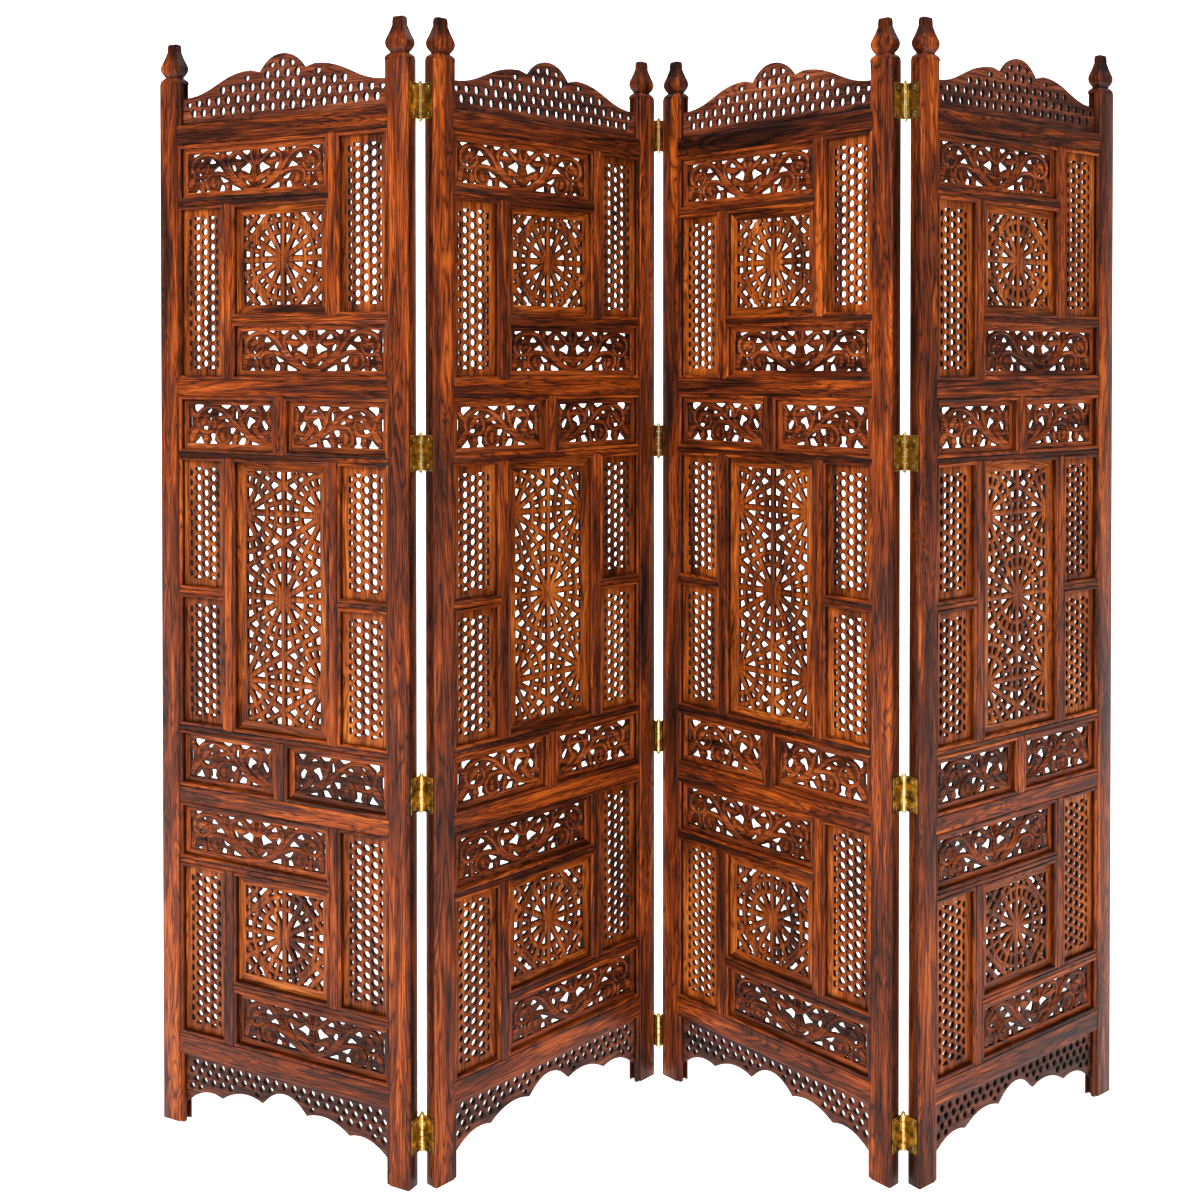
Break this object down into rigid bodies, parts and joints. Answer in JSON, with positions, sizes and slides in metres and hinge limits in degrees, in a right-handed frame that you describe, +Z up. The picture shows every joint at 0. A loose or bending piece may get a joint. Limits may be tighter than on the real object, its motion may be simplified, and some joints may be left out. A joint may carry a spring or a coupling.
{
  "type": "mashrabiya screen",
  "caption": "Free-standing folding screen of carved rosewood leaves with lattice, scroll and rosette fretwork, onion finials and brass butt hinges.",
  "frame": {"origin": "on the floor, at the middle of the standing screen's box", "axes": "+Z up, +X to the viewer's right along the row of leaves, +Y away from the viewer"},
  "size_m": [1.6512, 0.3982, 1.83],
  "materials": {
    "rosewood_frame": "red-brown rosewood, satin varnish",
    "rosewood_fretwork": "carved and pierced rosewood, satin varnish, dark in the recesses",
    "hinge_brass": "polished brass with darkened lacquer"
  },
  "bodies": {
    "leaf_1": {"leaf_1_stile_left": "rosewood_frame", "leaf_1_stile_right": "rosewood_frame", "leaf_1_crest": "rosewood_fretwork", "leaf_1_top_rail": "rosewood_frame", "leaf_1_fretwork_upper": "rosewood_fretwork", "leaf_1_fretwork_middle": "rosewood_fretwork", "leaf_1_fretwork_lower": "rosewood_fretwork", "leaf_1_bottom_rail": "rosewood_frame", "leaf_1_apron": "rosewood_fretwork", "hinge_1_2_1_left": "hinge_brass", "hinge_1_2_2_left": "hinge_brass", "hinge_1_2_3_left": "hinge_brass", "hinge_1_2_4_left": "hinge_brass"},
    "leaf_2": {"leaf_2_stile_left": "rosewood_frame", "leaf_2_stile_right": "rosewood_frame", "leaf_2_crest": "rosewood_fretwork", "leaf_2_top_rail": "rosewood_frame", "leaf_2_fretwork_upper": "rosewood_fretwork", "leaf_2_fretwork_middle": "rosewood_fretwork", "leaf_2_fretwork_lower": "rosewood_fretwork", "leaf_2_bottom_rail": "rosewood_frame", "leaf_2_apron": "rosewood_fretwork", "hinge_1_2_1_right": "hinge_brass", "hinge_1_2_2_right": "hinge_brass", "hinge_1_2_3_right": "hinge_brass", "hinge_1_2_4_right": "hinge_brass", "hinge_2_3_1_left": "hinge_brass", "hinge_2_3_2_left": "hinge_brass", "hinge_2_3_3_left": "hinge_brass", "hinge_2_3_4_left": "hinge_brass"},
    "leaf_3": {"leaf_3_stile_left": "rosewood_frame", "leaf_3_stile_right": "rosewood_frame", "leaf_3_crest": "rosewood_fretwork", "leaf_3_top_rail": "rosewood_frame", "leaf_3_fretwork_upper": "rosewood_fretwork", "leaf_3_fretwork_middle": "rosewood_fretwork", "leaf_3_fretwork_lower": "rosewood_fretwork", "leaf_3_bottom_rail": "rosewood_frame", "leaf_3_apron": "rosewood_fretwork", "hinge_2_3_1_right": "hinge_brass", "hinge_2_3_2_right": "hinge_brass", "hinge_2_3_3_right": "hinge_brass", "hinge_2_3_4_right": "hinge_brass", "hinge_3_4_1_left": "hinge_brass", "hinge_3_4_2_left": "hinge_brass", "hinge_3_4_3_left": "hinge_brass", "hinge_3_4_4_left": "hinge_brass"},
    "leaf_4": {"leaf_4_stile_left": "rosewood_frame", "leaf_4_stile_right": "rosewood_frame", "leaf_4_crest": "rosewood_fretwork", "leaf_4_top_rail": "rosewood_frame", "leaf_4_fretwork_upper": "rosewood_fretwork", "leaf_4_fretwork_middle": "rosewood_fretwork", "leaf_4_fretwork_lower": "rosewood_fretwork", "leaf_4_bottom_rail": "rosewood_frame", "leaf_4_apron": "rosewood_fretwork", "hinge_3_4_1_right": "hinge_brass", "hinge_3_4_2_right": "hinge_brass", "hinge_3_4_3_right": "hinge_brass", "hinge_3_4_4_right": "hinge_brass"}
  },
  "joints": [
    {"name": "fold_1_2", "type": "hinge", "parent": "leaf_2", "child": "leaf_1", "pos_m": [-0.35362, -0.17204, 0.9], "axis": [0, 0, 1], "range_deg": [-104.2, 73.8]},
    {"name": "fold_2_3", "type": "hinge", "parent": "leaf_2", "child": "leaf_3", "pos_m": [0.02479, 0.17936, 0.9], "axis": [0, 0, 1], "range_deg": [-84, 94]},
    {"name": "fold_3_4", "type": "hinge", "parent": "leaf_3", "child": "leaf_4", "pos_m": [0.40442, -0.17071, 0.9], "axis": [0, 0, -1], "range_deg": [-92.7, 85.3]}
  ]
}
